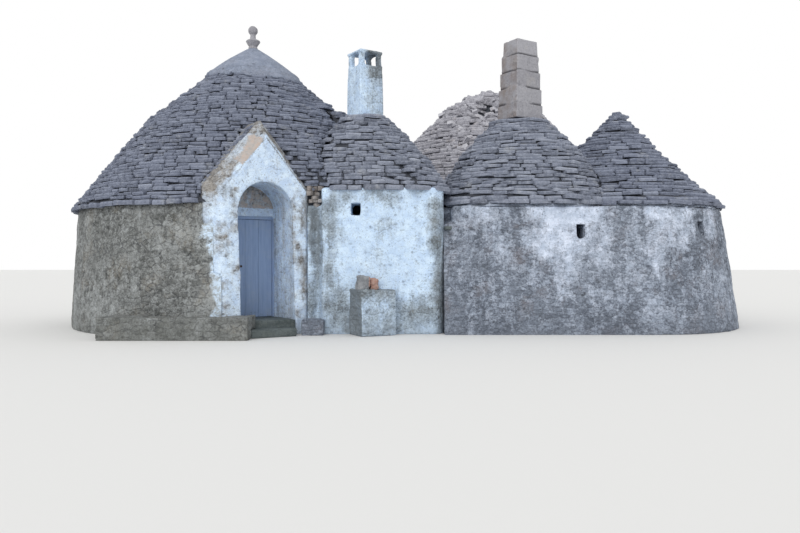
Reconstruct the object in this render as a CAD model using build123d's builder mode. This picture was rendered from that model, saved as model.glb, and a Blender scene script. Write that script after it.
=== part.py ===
from build123d import *
import math
import os

# Five-cone trullo house. Millimetres, +Z up, +X right along the front, +Y away from it.
# The origin is on the ground under the tip of the main cone.

os.makedirs("parts", exist_ok=True)

# Centres of the five cones in plan
MAIN = (0, 0)
HEARTH = (2790, -1600)
RUIN = (6100, 3000)
KITCHEN = (6280, -1200)
END = (8750, -250)

# Wall mass: every wall is laid up to one level seat that carries the roofs
SEAT = 2600
MAIN_FOOT, MAIN_TOP = 4050, 3900
RUIN_FOOT, RUIN_TOP = 4050, 3900
END_TOP = 2600
BATTER = 450
WHITE_LEFT, WHITE_RIGHT, WHITE_FRONT, WHITE_TOP = 1980, 4450, -3150, 2950
WHITE_CORNER = 280
BAY_LEFT, BAY_FRONT = 1500, -2980
EAVE = 60
EAVE_COURSE = 90
TIER = 190
LEDGE_SHARE = 0.3

# Rooms: radius, point on the corbelled curve above the seat, top of the void
FLOOR = 300
ROOMS = {
    "main": (MAIN, 2250, (1720, 4100), (220, 5650)),
    "hearth": (HEARTH, 850, (640, 3200), (150, 4200)),
    "ruin": (RUIN, 2200, (1680, 3800), (300, 5000)),
    "kitchen": (KITCHEN, 1100, (780, 3300), (140, 4150)),
    "end": (END, 1300, (960, 3350), (120, 4300)),
}
FLUE_R, FLUE_FOOT = 140, 4000
HEARTH_FLUE_TOP, KITCHEN_FLUE_TOP = 5740, 6500
DOORWAY_END = 2100

# Porch: a gabled front turned to the right, with a round-arched niche and the door at its back
PORCH = (920, -3500)
PORCH_TURN = 33
NICHE_MID, NICHE_R, NICHE_SPRING, NICHE_DEPTH = 20, 570, 2450, 1000
NICHE_LEAN = 70
PORCH_DEPTH = 1250
GABLE_HALF, GABLE_EAVE, GABLE_TIP, GABLE_SHIFT = 860, 2900, 3900, 30
BAND_DEPTH, BAND_HALF, BAND_EAVE, BAND_TIP = 300, 1150, 2930, 4290
FORECOURT = 1700

# Doorway at the back of the niche, in the porch's own right and inward directions
DOOR_LEFT, DOOR_RIGHT, DOOR_HEAD = -360, 625, 2400
LINTEL_TOP, LINTEL_REST = 2560, 150
LEAF_LEFT, LEAF_RIGHT, LEAF_FOOT, LEAF_TOP = -307, 574, 308, 2332
LEAF_FRONT, PLANK, LEDGE = 1030, 30, 25
HINGE = (580, 1080)
HINGE_HEIGHTS = (700, 1960)
PIN_R, EYE_GAP, EYE_R, EYE_LENGTH = 8, 0.5, 14, 50


turn = math.radians(PORCH_TURN)


def turned(x, y):
    """Porch coordinates (right, inward) to plan coordinates."""
    return (
        PORCH[0] + x * math.cos(turn) - y * math.sin(turn),
        PORCH[1] + x * math.sin(turn) + y * math.cos(turn),
    )


porch_plan = Plane(origin=(*PORCH, 0), x_dir=(math.cos(turn), math.sin(turn), 0), z_dir=(0, 0, 1))
facade = Plane(origin=(*PORCH, 0), x_dir=(math.cos(turn), math.sin(turn), 0),
               z_dir=(math.sin(turn), -math.cos(turn), 0))


def upright(centre):
    """Vertical plane through a cone's axis: x runs outward, y runs up."""
    return Plane(origin=(*centre, 0), x_dir=(1, 0, 0), z_dir=(0, -1, 0))


def cone_solid(centre, profile):
    """Solid of revolution under a roof profile given from the eave to the tip."""
    with BuildPart() as solid:
        with BuildSketch(upright(centre)):
            with BuildLine():
                Polyline((0, profile[0][1]), *profile, (0, profile[-1][1]), close=True)
            make_face()
        revolve(axis=Axis((*centre, 0), (0, 0, 1)))
    return solid.part


def keep(part, name):
    part.label = name
    export_step(part, f"parts/{name}.step")
    return part


# Room voids, with their corbelled tops
def passage(start, end, width, crown):
    """Round-headed passage from one plan point to another."""
    run = (end[0] - start[0], end[1] - start[1])
    length = math.hypot(*run)
    face = Plane(origin=(*start, 0), x_dir=(-run[1] / length, run[0] / length, 0),
                 z_dir=(run[0] / length, run[1] / length, 0))
    with BuildPart() as way:
        with BuildSketch(face):
            spring = crown - width / 2
            with Locations((0, spring / 2)):
                Rectangle(width, spring)
            with Locations((0, spring)):
                Circle(width / 2)
        extrude(amount=length)
    return way.part


with BuildPart() as rooms:
    for centre, radius, waist, top in ROOMS.values():
        with BuildSketch(upright(centre)):
            with BuildLine():
                Polyline((0, 0), (radius, 0), (radius, SEAT))
                ThreePointArc((radius, SEAT), waist, top)
                Polyline(top, (0, top[1]), (0, 0))
            make_face()
        revolve(axis=Axis((*centre, 0), (0, 0, 1)))
    for centre, flue_top in ((HEARTH, HEARTH_FLUE_TOP), (KITCHEN, KITCHEN_FLUE_TOP)):
        with BuildSketch(Plane.XY.offset(FLUE_FOOT)):
            with Locations(centre):
                Circle(FLUE_R)
        extrude(amount=flue_top - FLUE_FOOT)
    add(passage(MAIN, HEARTH, 1100, 2050))
    add(passage(MAIN, RUIN, 850, 2250))
    add(passage(RUIN, KITCHEN, 1300, 2200))
    add(passage(RUIN, END, 850, 2200))
    # Doorway from the back of the porch into the main room
    with BuildSketch(porch_plan):
        with Locations(((DOOR_LEFT + DOOR_RIGHT) / 2, (PORCH_DEPTH + DOORWAY_END) / 2)):
            Rectangle(DOOR_RIGHT - DOOR_LEFT, DOORWAY_END - PORCH_DEPTH)
    extrude(amount=DOOR_HEAD)

# Small windows: plan point on the face, plan direction, width, sill, head, depth
WINDOWS = (
    ((7240, -2600), (0, 1), 165, 1930, 2210, 1250),
    ((2670, -3000), (0, 1), 190, 2390, 2630, 900),
    ((9980, -2540), (-0.473, 0.881), 150, 2020, 2290, 140),
)
with BuildPart() as windows:
    for point, aim, width, sill, head, depth in WINDOWS:
        mouth = Plane(origin=(*point, (sill + head) / 2), x_dir=(-aim[1], aim[0], 0),
                      z_dir=(aim[0], aim[1], 0))
        with BuildSketch(mouth.offset(-900)):
            Rectangle(width, head - sill)
        extrude(amount=900 + depth)

# Porch envelope, taken out of the walls and the main cone
front_outline = [(-GABLE_HALF + NICHE_MID, GABLE_EAVE), (NICHE_MID + GABLE_SHIFT, GABLE_TIP),
                 (GABLE_HALF + NICHE_MID, GABLE_EAVE)]
band_outline = [(-BAND_HALF, BAND_EAVE), (NICHE_MID, BAND_TIP), (BAND_HALF, BAND_EAVE)]


def porch_body(low):
    """Gabled porch block above a given height: splayed front band, then a straight run back."""
    with BuildPart() as body:
        for outline, depth in ((front_outline, 0), (band_outline, BAND_DEPTH)):
            with BuildSketch(facade.offset(-depth)):
                with BuildLine():
                    Polyline((outline[0][0], low), *outline, (outline[-1][0], low), close=True)
                make_face()
        loft(ruled=True)
        with BuildSketch(facade.offset(-BAND_DEPTH)):
            with BuildLine():
                Polyline((-BAND_HALF, low), *band_outline, (BAND_HALF, low), close=True)
            make_face()
        extrude(amount=-(PORCH_DEPTH - BAND_DEPTH))
    return body.part


porch_block = porch_body(0)

# The niche leans: its foot stands a little to the right of its springing line
niche_left, niche_right = NICHE_MID - NICHE_R, NICHE_MID + NICHE_R
with BuildPart() as niche:
    with BuildSketch(facade.offset(FORECOURT)):
        with BuildLine():
            Polyline((niche_left, NICHE_SPRING), (niche_left + NICHE_LEAN, 0), (niche_right + NICHE_LEAN, 0),
                     (niche_right, NICHE_SPRING))
            ThreePointArc((niche_right, NICHE_SPRING), (NICHE_MID, NICHE_SPRING + NICHE_R),
                          (niche_left, NICHE_SPRING))
        make_face()
    extrude(amount=-(NICHE_DEPTH + FORECOURT))

with BuildPart() as doorway:
    with BuildSketch(porch_plan):
        with Locations(((DOOR_LEFT + DOOR_RIGHT) / 2, (NICHE_DEPTH + PORCH_DEPTH) / 2)):
            Rectangle(DOOR_RIGHT - DOOR_LEFT, PORCH_DEPTH - NICHE_DEPTH)
    extrude(amount=DOOR_HEAD)

# Space kept free in front of the porch, the bay beside it and the white block
with BuildPart() as forecourt:
    with BuildSketch(porch_plan):
        with Locations((0, -FORECOURT / 2)):
            Rectangle(2 * BAND_HALF, FORECOURT)
    with BuildSketch():
        with Locations(((BAY_LEFT + WHITE_LEFT) / 2, BAY_FRONT - FORECOURT / 2)):
            Rectangle(WHITE_LEFT - BAY_LEFT, FORECOURT)
        with Locations(((WHITE_LEFT + WHITE_RIGHT) / 2, WHITE_FRONT - FORECOURT / 2)):
            Rectangle(WHITE_RIGHT - WHITE_LEFT, FORECOURT)
    extrude(amount=BAND_TIP + FORECOURT)

# White block round the hearth alcove
with BuildPart() as white_block:
    with BuildSketch():
        with Locations(((WHITE_LEFT + WHITE_RIGHT) / 2, WHITE_FRONT / 2)):
            Rectangle(WHITE_RIGHT - WHITE_LEFT, -WHITE_FRONT)
    extrude(amount=WHITE_TOP)
    corner = white_block.edges().filter_by(Axis.Z).sort_by(lambda e: e.center().X - e.center().Y)[-1]
    fillet(corner, WHITE_CORNER)

# The whole wall mass, battered at the foot
with BuildPart() as wall_mass:
    with Locations(MAIN):
        Cone(MAIN_FOOT, MAIN_TOP, SEAT, align=(Align.CENTER, Align.CENTER, Align.MIN))
    add(forecourt.part, mode=Mode.SUBTRACT)
    with Locations(RUIN):
        Cone(RUIN_FOOT, RUIN_TOP, SEAT, align=(Align.CENTER, Align.CENTER, Align.MIN))

with BuildPart() as grey_mass:
    for level, spread in ((0, BATTER), (SEAT, 0)):
        radius = END_TOP + spread
        with BuildSketch(Plane.XY.offset(level)):
            with BuildLine():
                Line((WHITE_RIGHT, END[1] - radius), (END[0], END[1] - radius))
                ThreePointArc((END[0], END[1] - radius), (END[0] + radius, END[1]), (END[0], END[1] + radius))
                Line((END[0], END[1] + radius), (WHITE_RIGHT, END[1] + radius))
                Line((WHITE_RIGHT, END[1] + radius), (WHITE_RIGHT, END[1] - radius))
            make_face()
    loft(ruled=True)

# Gap in the wall head where the valley between the white block and the kitchen roof drains
GAP_WIDTH, GAP_SILL, GAP_FRONT, GAP_BACK = 170, 2240, -3400, -2450
with BuildPart() as drain_gap:
    with BuildSketch(Plane.XY.offset(GAP_SILL)):
        with Locations((WHITE_RIGHT + GAP_WIDTH / 2, (GAP_FRONT + GAP_BACK) / 2)):
            Rectangle(GAP_WIDTH, GAP_BACK - GAP_FRONT)
    extrude(amount=SEAT - GAP_SILL)

mass = wall_mass.part + grey_mass.part - drain_gap.part


def wall_piece(name, corners, base, low=0, top=SEAT):
    """One stretch of wall: a cell of the plan cut out of the battered mass."""
    with BuildPart() as piece:
        with BuildSketch(Plane.XY.offset(low)):
            with BuildLine():
                Polyline(*corners, close=True)
            make_face()
        extrude(amount=top - low)
        add(base, mode=Mode.INTERSECT)
        add(porch_block, mode=Mode.SUBTRACT)
        add(rooms.part, mode=Mode.SUBTRACT)
        add(windows.part, mode=Mode.SUBTRACT)
    return keep(piece.part, name)


# Plan points where the cells meet
MEET_MAIN_RUIN = (3050, 1500)
MEET_RUIN_LEFT = (1286, 5090)
MEET_WHITE_RUIN = (3930, -300)
MEET_END_RUIN = (7650, 1100)
MEET_KITCHEN_END = (7010, 300)
MEET_BETWEEN = (7418, -762)
MEET_END_WALL = (7587, -1200)
MEET_END_FOOT = (8510, -3600)

mass_white = mass + white_block.part
wall_piece("left_front_wall", [MAIN, (-5000, 0), (-5000, -5000), turned(DOOR_LEFT, -1600),
                               turned(DOOR_LEFT, 2100)], mass)
wall_piece("doorway_wall", [turned(DOOR_RIGHT, -800), (WHITE_LEFT, -3920), (WHITE_LEFT, -300), (0, -300),
                            turned(DOOR_RIGHT, 2100)], mass)
wall_piece("inner_lintel", [turned(DOOR_LEFT, 1000), turned(DOOR_LEFT, 2100), turned(DOOR_RIGHT, 2100),
                            turned(DOOR_RIGHT, 1000)], mass, low=DOOR_HEAD)
wall_piece("left_rear_wall", [MAIN, (-5000, 0), (-5000, 5000), (-1500, 5000)], mass)
wall_piece("main_rear_wall", [MAIN, (-1500, 5000), MEET_RUIN_LEFT, MEET_MAIN_RUIN], mass)
wall_piece("middle_wall", [(0, -300), MAIN, MEET_MAIN_RUIN, MEET_WHITE_RUIN], mass_white)
wall_piece("white_wall", [(WHITE_LEFT, -4000), (WHITE_RIGHT, -4000), (WHITE_RIGHT, HEARTH[1]),
                          (WHITE_LEFT, HEARTH[1])], white_block.part, top=WHITE_TOP)
wall_piece("alcove_wall", [(WHITE_LEFT, HEARTH[1]), (WHITE_RIGHT, HEARTH[1]), (WHITE_RIGHT, -300),
                           (WHITE_LEFT, -300)], white_block.part, top=WHITE_TOP)
wall_piece("rear_wall_left", [RUIN, MEET_MAIN_RUIN, MEET_RUIN_LEFT, (900, 6000)], mass)
wall_piece("rear_wall_middle", [RUIN, (900, 6000), (900, 8000), (6100, 8000)], mass)
wall_piece("rear_wall_right", [RUIN, (6100, 8000), (11000, 8000), (11000, 3840), MEET_END_RUIN], mass)
wall_piece("cross_wall", [RUIN, MEET_MAIN_RUIN, MEET_WHITE_RUIN, (WHITE_RIGHT, -300), (WHITE_RIGHT, 300),
                          MEET_KITCHEN_END, MEET_END_RUIN], mass_white)
wall_piece("kitchen_wall", [(WHITE_RIGHT, KITCHEN[1]), MEET_END_WALL, MEET_BETWEEN, MEET_KITCHEN_END,
                            (WHITE_RIGHT, 300)], mass)
wall_piece("grey_front_wall_left", [(WHITE_RIGHT, -3600), MEET_END_FOOT, MEET_END_WALL,
                                    (WHITE_RIGHT, KITCHEN[1])], mass)
wall_piece("grey_front_wall_right", [MEET_END_FOOT, (8510, -3900), (12400, -3900), END,
                                     MEET_BETWEEN, MEET_END_WALL], mass)
wall_piece("grey_side_wall", [END, (12400, -3900), (12600, -3900), (12600, 2446)], mass)
wall_piece("grey_rear_wall", [END, (12600, 2446), (12600, 5115), MEET_END_RUIN, MEET_KITCHEN_END,
                              MEET_BETWEEN], mass)

# Floor of stone slabs in every room and passage
with BuildPart() as stone_floor:
    with Locations((4000, 1500, FLOOR / 2)):
        Box(20000, 16000, FLOOR)
    add(rooms.part, mode=Mode.INTERSECT)
    add(porch_block, mode=Mode.SUBTRACT)
keep(stone_floor.part, "stone_floor")

# Lintel, porch jambs, gable and vault, with the tympanum that closes the niche over the lintel
with BuildPart() as lintel:
    with BuildSketch(porch_plan.offset(DOOR_HEAD)):
        with Locations((NICHE_MID, (NICHE_DEPTH + PORCH_DEPTH) / 2)):
            Rectangle(2 * (NICHE_R + LINTEL_REST), PORCH_DEPTH - NICHE_DEPTH)
    extrude(amount=LINTEL_TOP - DOOR_HEAD)
keep(lintel.part, "lintel")

for name, low_x, high_x in (("porch_left_jamb", -1500, NICHE_MID), ("porch_right_jamb", NICHE_MID, 1500)):
    with BuildPart() as jamb:
        with BuildSketch(porch_plan):
            with Locations(((low_x + high_x) / 2, 700)):
                Rectangle(high_x - low_x, 1500)
        extrude(amount=NICHE_SPRING)
        add(porch_block, mode=Mode.INTERSECT)
        add(niche.part, mode=Mode.SUBTRACT)
        add(doorway.part, mode=Mode.SUBTRACT)
        add(rooms.part, mode=Mode.SUBTRACT)
        # The lintel's end bears on this jamb
        add(lintel.part, mode=Mode.SUBTRACT)
    keep(jamb.part, name)

with BuildPart() as porch_head:
    add(porch_body(NICHE_SPRING))
    add(niche.part, mode=Mode.SUBTRACT)
    add(lintel.part, mode=Mode.SUBTRACT)

with BuildPart() as porch_gable:
    add(porch_head.part)
    split(bisect_by=facade.offset(-BAND_DEPTH), keep=Keep.TOP)
keep(porch_gable.part, "porch_gable")
with BuildPart() as porch_vault:
    add(porch_head.part)
    split(bisect_by=facade.offset(-BAND_DEPTH), keep=Keep.BOTTOM)
keep(porch_vault.part, "porch_vault")

with BuildPart() as threshold:
    with BuildSketch(porch_plan):
        with Locations((NICHE_MID, PORCH_DEPTH / 2)):
            Rectangle(3 * NICHE_R, PORCH_DEPTH)
    extrude(amount=FLOOR)
    add(niche.part + doorway.part, mode=Mode.INTERSECT)
keep(threshold.part, "threshold")

STEP_MID, STEP_WIDTH, STEP_DEPTH, STEP_HEIGHT = 30, 960, 380, 160
with BuildPart() as step:
    with BuildSketch(porch_plan):
        with Locations((STEP_MID, -STEP_DEPTH / 2)):
            Rectangle(STEP_WIDTH, STEP_DEPTH)
    extrude(amount=STEP_HEIGHT)
keep(step.part, "step")

# Door frame: two posts and a head, set behind the niche
POST_FRONT, POST_BACK, FRAME_GAP = 1000, 1060, 8
with BuildPart() as door_frame:
    with BuildSketch(porch_plan.offset(FLOOR)):
        for left, right in ((DOOR_LEFT, LEAF_LEFT - FRAME_GAP), (LEAF_RIGHT + FRAME_GAP, DOOR_RIGHT)):
            with Locations(((left + right) / 2, (POST_FRONT + POST_BACK) / 2)):
                Rectangle(right - left, POST_BACK - POST_FRONT)
    extrude(amount=DOOR_HEAD - FLOOR)
    with BuildSketch(porch_plan.offset(LEAF_TOP + FRAME_GAP)):
        with Locations(((DOOR_LEFT + DOOR_RIGHT) / 2, (POST_FRONT + POST_BACK) / 2)):
            Rectangle(DOOR_RIGHT - DOOR_LEFT, POST_BACK - POST_FRONT)
    extrude(amount=DOOR_HEAD - LEAF_TOP - FRAME_GAP)
keep(door_frame.part, "door_frame")

# Door leaf: three planks on two ledges, hung on strap hinges that turn on pintles
PLANK_GAP = 4
plank_width = (LEAF_RIGHT - LEAF_LEFT - 2 * PLANK_GAP) / 3
with BuildPart() as door_planks:
    with BuildSketch(porch_plan.offset(LEAF_FOOT)):
        for i in range(3):
            with Locations((LEAF_LEFT + plank_width / 2 + i * (plank_width + PLANK_GAP), LEAF_FRONT + PLANK / 2)):
                Rectangle(plank_width, PLANK)
    extrude(amount=LEAF_TOP - LEAF_FOOT)
keep(door_planks.part, "door_planks")

ledge_back = LEAF_FRONT + PLANK + LEDGE
LEDGE_HEIGHT, LEDGE_INSET, LEDGE_SHIFT = 140, 40, 10
with BuildPart() as door_ledges:
    for height in HINGE_HEIGHTS:
        with BuildSketch(porch_plan.offset(height - LEDGE_HEIGHT / 2)):
            with Locations(((LEAF_LEFT + LEAF_RIGHT) / 2 - LEDGE_SHIFT, ledge_back - LEDGE / 2)):
                Rectangle(LEAF_RIGHT - LEAF_LEFT - 2 * LEDGE_INSET, LEDGE)
        extrude(amount=LEDGE_HEIGHT)
keep(door_ledges.part, "door_ledges")

STRAP, STRAP_END = 6, 60
with BuildPart() as door_straps:
    for height in HINGE_HEIGHTS:
        with BuildSketch(porch_plan.offset(height - EYE_LENGTH / 2)):
            with Locations(((STRAP_END + HINGE[0]) / 2, ledge_back + STRAP / 2)):
                Rectangle(HINGE[0] - STRAP_END, STRAP)
            with Locations(HINGE):
                Circle(EYE_R)
            with Locations(HINGE):
                Circle(PIN_R + EYE_GAP, mode=Mode.SUBTRACT)
        extrude(amount=EYE_LENGTH)
keep(door_straps.part, "door_straps")

PIN_CLEAR, PIN_ABOVE = 6, 10
with BuildPart() as door_pintles:
    for height in HINGE_HEIGHTS:
        pin_foot = height - EYE_LENGTH / 2 - PIN_CLEAR
        with BuildSketch(porch_plan.offset(pin_foot)):
            with Locations(HINGE):
                Circle(PIN_R)
        extrude(amount=PIN_CLEAR + EYE_LENGTH + PIN_ABOVE)
        with BuildSketch(porch_plan.offset(pin_foot - 2 * PIN_R)):
            with Locations(((HINGE[0] + DOOR_RIGHT) / 2, HINGE[1])):
                Rectangle(DOOR_RIGHT - HINGE[0], 2 * PIN_R)
            with Locations(HINGE):
                Circle(PIN_R)
        extrude(amount=2 * PIN_R)
keep(door_pintles.part, "door_pintles")

# Roofs: slabs laid in tiers, each tier a little steeper than the roof and ending in a ledge
CAP_SEAT = 5890
main_profile = ((MAIN_TOP + EAVE, SEAT), (MAIN_TOP + EAVE, SEAT + EAVE_COURSE), (2430, 4690), (1810, 5190),
                (1010, CAP_SEAT))
ruin_profile = ((RUIN_TOP + EAVE, SEAT), (RUIN_TOP + EAVE, SEAT + EAVE_COURSE), (2150, 4790), (1240, 5700),
                (720, 5960), (400, 6170), (100, 6250))
end_profile = ((END_TOP + EAVE, SEAT), (END_TOP + EAVE, SEAT + EAVE_COURSE), (1400, 3720), (910, 4160),
               (300, 4780), (150, 5010))
hearth_stages = (
    (WHITE_TOP, 3200, -1600, 2640, 3200, 420),
    (3800, 2850, -1600, 2400, 2300, 900),
    (4620, *HEARTH, 1000, 1000, 440),
)
kitchen_stages = (
    (SEAT, 6280, -1150, 3960, 3520, 1100),
    (3800, *KITCHEN, 2720, 2600, 1150),
    (4650, *KITCHEN, 1100, 1000, 440),
)


def between(rows, level):
    """The other values of rows that start with a level, read off at a level between two of them."""
    for (low, *under), (high, *over) in zip(rows, rows[1:]):
        if low <= level <= high:
            share = (level - low) / (high - low)
            return [a + share * (b - a) for a, b in zip(under, over)]


def tiers(low, high):
    """Levels from low to high, in equal steps of about one tier."""
    count = round((high - low) / TIER)
    return [low + (high - low) * i / count for i in range(count + 1)]


def round_roof(centre, profile):
    """Roof of level tiers round an axis, from an outline that starts at the eave."""
    rows = [(level, radius) for radius, level in profile[1:]]
    levels = tiers(rows[0][0], rows[-1][0])
    outline = list(profile[:2])
    for low, high in zip(levels, levels[1:]):
        foot, head = between(rows, low)[0], between(rows, high)[0]
        ledge = LEDGE_SHARE * (foot - head) / 2
        outline += [(foot - ledge, low), (head + ledge, high)]
    return cone_solid(centre, outline)


def lofted_roof(stages):
    """Roof of level tiers that starts as a rounded rectangle on its walls and closes towards a round top."""
    levels = tiers(stages[0][0], stages[-1][0])
    with BuildPart() as roof:
        for low, high in zip(levels, levels[1:]):
            foot, head = between(stages, low), between(stages, high)
            for level, mix in ((low, LEDGE_SHARE / 2), (high, 1 - LEDGE_SHARE / 2)):
                x, y, width, depth, corner = [a + mix * (b - a) for a, b in zip(foot, head)]
                with BuildSketch(Plane.XY.offset(level)):
                    with Locations((x, y)):
                        RectangleRounded(width, depth, corner)
            loft(ruled=True)
    return roof.part


# The ruined cone's crown has slipped at the front, and the end cone's top stone is tilted
SLIP = (6000, 1050, 5900)
SLIP_R = 900
TIP_TILT, TIP_MID = 10, 4925
main_outer = round_roof(MAIN, main_profile)
with BuildPart() as ruin_outer:
    add(round_roof(RUIN, ruin_profile))
    with Locations(SLIP):
        Sphere(SLIP_R, mode=Mode.SUBTRACT)
with BuildPart() as end_outer:
    add(round_roof(END, end_profile))
    with Locations(Location((*END, TIP_MID), (0, -TIP_TILT, 0))):
        Box(END_TOP, END_TOP, END_TOP, align=(Align.CENTER, Align.CENTER, Align.MIN), mode=Mode.SUBTRACT)
hearth_outer = lofted_roof(hearth_stages)
kitchen_outer = lofted_roof(kitchen_stages)


def roof_piece(name, solid, cut_by):
    """A roof cut by what it leans on. A crumb cut off at a valley is left out."""
    with BuildPart() as roof:
        add(solid)
        for other in cut_by:
            add(other, mode=Mode.SUBTRACT)
    return keep(roof.part.solids().sort_by(SortBy.VOLUME)[-1], name)


main_cone = roof_piece("main_cone", main_outer, (forecourt.part, porch_block, white_block.part, rooms.part))
ruined_cone = roof_piece("ruined_cone", ruin_outer.part, (main_cone, white_block.part, rooms.part))
end_cone = roof_piece("end_cone", end_outer.part, (ruined_cone, rooms.part))
hearth_cone = roof_piece("hearth_cone", hearth_outer, (main_cone, ruined_cone, porch_block, rooms.part))
kitchen_cone = roof_piece("kitchen_cone", kitchen_outer,
                          (ruined_cone, end_cone, hearth_cone, white_block.part, rooms.part))

CAP_RIM = ((1060, CAP_SEAT), (1035, 5950))
CAP_FLANK, CAP_TOP = (580, 6300), (115, 6600)
with BuildPart() as main_cap:
    with BuildSketch(upright(MAIN)):
        with BuildLine():
            Polyline((0, CAP_SEAT), *CAP_RIM)
            ThreePointArc(CAP_RIM[-1], CAP_FLANK, CAP_TOP)
            Polyline(CAP_TOP, (0, CAP_TOP[1]), (0, CAP_SEAT))
        make_face()
    revolve(axis=Axis.Z)
keep(main_cap.part, "main_cap")

BALL_R, BALL_MID, NECK_R = 115, 7045, 66
BOWL = ((112, CAP_TOP[1]), (100, 6660), (175, 6780), (150, 6815), (70, 6825))
neck_top = BALL_MID - math.sqrt(BALL_R ** 2 - NECK_R ** 2)
with BuildPart() as finial:
    with BuildSketch(upright(MAIN)):
        with BuildLine():
            Polyline((0, CAP_TOP[1]), *BOWL, (NECK_R, neck_top))
            ThreePointArc((NECK_R, neck_top), (BALL_R, BALL_MID), (0, BALL_MID + BALL_R))
            Line((0, BALL_MID + BALL_R), (0, CAP_TOP[1]))
        make_face()
    revolve(axis=Axis.Z)
keep(finial.part, "finial")

# Saddle of stones that bridges the main cone and the chimney of the hearth cone
SADDLE_ENDS = ((1300, 1150, 4200, 5500), (3150, 900, 3700, 4580))
reach = math.hypot(*HEARTH)
along = (HEARTH[0] / reach, HEARTH[1] / reach)
with BuildPart() as saddle:
    for distance, half, foot, ridge in SADDLE_ENDS:
        cut = Plane(origin=(along[0] * distance, along[1] * distance, 0), x_dir=(-along[1], along[0], 0),
                    z_dir=(along[0], along[1], 0))
        with BuildSketch(cut):
            with BuildLine():
                Polyline((-half, foot), (0, ridge), (half, foot), close=True)
            make_face()
    loft(ruled=True)

# White chimney with a four-post lantern
WHITE_SIDE, STACK_TAPER, STACK_FOOT, STACK_TOP, LANTERN_TOP, SLAB_TOP = 580, 20, 4620, 5740, 6010, 6070
POST, POST_SPACING = 110, 430
stack_plan = Plane(origin=(*HEARTH, 0), x_dir=(math.cos(turn), math.sin(turn), 0), z_dir=(0, 0, 1))
with BuildPart() as white_chimney:
    with BuildSketch(stack_plan.offset(STACK_FOOT)):
        Rectangle(WHITE_SIDE + STACK_TAPER, WHITE_SIDE + STACK_TAPER)
    with BuildSketch(stack_plan.offset(STACK_TOP)):
        Rectangle(WHITE_SIDE - STACK_TAPER, WHITE_SIDE - STACK_TAPER)
    loft(ruled=True)
    with BuildSketch(stack_plan.offset(STACK_TOP)):
        with GridLocations(POST_SPACING, POST_SPACING, 2, 2):
            Rectangle(POST, POST)
    extrude(amount=LANTERN_TOP - STACK_TOP)
    with BuildSketch(stack_plan.offset(STACK_FOOT)):
        Circle(FLUE_R)
    extrude(amount=STACK_TOP - STACK_FOOT, mode=Mode.SUBTRACT)
keep(white_chimney.part, "white_chimney")
with BuildPart() as lantern_slab:
    with BuildSketch(stack_plan.offset(LANTERN_TOP)):
        Rectangle(WHITE_SIDE, WHITE_SIDE)
    extrude(amount=SLAB_TOP - LANTERN_TOP)
keep(lantern_slab.part, "lantern_slab")

roof_piece("saddle", saddle.part, (main_cone, hearth_cone, ruined_cone, white_chimney.part, rooms.part))

# Stone chimney of five ashlar courses
COURSES = ((4650, 790, 650), (4990, 760, 620), (5350, 700, 580), (5720, 650, 530), (6080, 600, 490))
ASHLAR_TOP = 6420
ashlar_plan = Plane(origin=(*KITCHEN, 0), x_dir=(math.cos(turn), math.sin(turn), 0), z_dir=(0, 0, 1))
with BuildPart() as stone_chimney:
    tops = [course[0] for course in COURSES[1:]] + [ASHLAR_TOP]
    for (level, width, depth), top in zip(COURSES, tops):
        with BuildSketch(ashlar_plan.offset(level)):
            Rectangle(width, depth)
        extrude(amount=top - level)
    with BuildSketch(ashlar_plan.offset(COURSES[0][0])):
        Circle(FLUE_R)
    extrude(amount=ASHLAR_TOP - COURSES[0][0], mode=Mode.SUBTRACT)
keep(stone_chimney.part, "stone_chimney")

# Bench, kerb, mounting block and spout against the front
BENCH_PLAN = ((-2050, -4400), (750, -4400), (750, -3650), (-2050, -3000))
BENCH_HEIGHT, KERB_HEIGHT = 420, 310
with BuildPart() as bench:
    with BuildSketch():
        with BuildLine():
            Polyline(*BENCH_PLAN, close=True)
        make_face()
    extrude(amount=BENCH_HEIGHT)
    add(mass, mode=Mode.SUBTRACT)
    add(porch_block, mode=Mode.SUBTRACT)
    add(step.part, mode=Mode.SUBTRACT)
keep(bench.part, "bench")

with BuildPart() as kerb_stone:
    with BuildSketch():
        with Locations((1830, -3200)):
            Rectangle(440, 440)
    extrude(amount=KERB_HEIGHT)
    add(white_block.part, mode=Mode.SUBTRACT)
    add(mass, mode=Mode.SUBTRACT)
    add(porch_block, mode=Mode.SUBTRACT)
keep(kerb_stone.part, "kerb_stone")

BLOCK_CORNER, BLOCK_TURN = (2820, -3700), math.radians(27)
BLOCK_WIDTH, BLOCK_DEPTH, BLOCK_HEIGHT = 760, 800, 910
LOOSE_STONES = (((130, 230), 220, 200, 270, 45), ((360, 240), 150, 110, 200, 12))
block_plan = Plane(origin=(*BLOCK_CORNER, 0), x_dir=(math.cos(BLOCK_TURN), math.sin(BLOCK_TURN), 0),
                   z_dir=(0, 0, 1))
with BuildPart() as block:
    with BuildSketch(block_plan):
        with Locations((BLOCK_WIDTH / 2, BLOCK_DEPTH / 2)):
            Rectangle(BLOCK_WIDTH, BLOCK_DEPTH)
    extrude(amount=BLOCK_HEIGHT)
    add(white_block.part, mode=Mode.SUBTRACT)
keep(block.part, "mounting_block")

with BuildPart() as block_rubble:
    for place, width, depth, height, rounding in LOOSE_STONES:
        with BuildSketch(block_plan.offset(BLOCK_HEIGHT)):
            with Locations(place):
                RectangleRounded(width, depth, rounding)
        extrude(amount=height)
    fillet(block_rubble.faces().filter_by(Axis.Z).group_by(Axis.Z)[-1].edges(), LOOSE_STONES[0][4] - 5)
keep(block_rubble.part, "block_rubble")

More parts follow.
